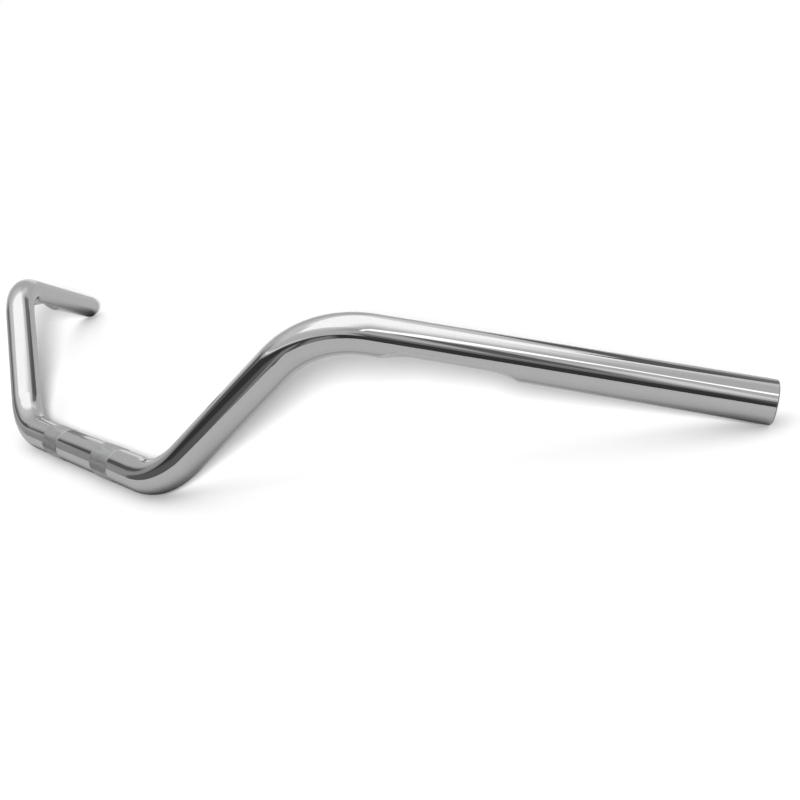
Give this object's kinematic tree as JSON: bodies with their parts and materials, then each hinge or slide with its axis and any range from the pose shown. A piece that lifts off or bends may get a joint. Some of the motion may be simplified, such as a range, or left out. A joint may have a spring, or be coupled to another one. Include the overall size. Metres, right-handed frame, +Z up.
{
  "type": "handlebar",
  "caption": "Chromed steel motorcycle handlebar: a bent tube with knurled clamp bands, splayed risers, swept-back arms, wiring dimples and open tips.",
  "frame": {"origin": "middle of the clamp section, on the tube's axis, half-way between the knurled bands", "axes": "+X along the clamp section to the rider's right, +Y forwards, +Z up with the bar lying on a bench on its clamp section and both tips"},
  "size_m": [0.9284, 0.2378, 0.1088],
  "materials": {
    "chrome": "mirror-polished plate",
    "knurled_chrome": "plate over a fine diamond knurl"
  },
  "bodies": {
    "root": {"clamp_centre": "chrome", "left_knurled_band": "knurled_chrome", "right_knurled_band": "knurled_chrome", "left_clamp_shoulder": "chrome", "right_clamp_shoulder": "chrome", "left_lower_bend": "chrome", "right_lower_bend": "chrome", "left_riser": "chrome", "right_riser": "chrome", "left_upper_bend": "chrome", "right_upper_bend": "chrome", "left_arm": "chrome", "right_arm": "chrome"}
  },
  "joints": []
}
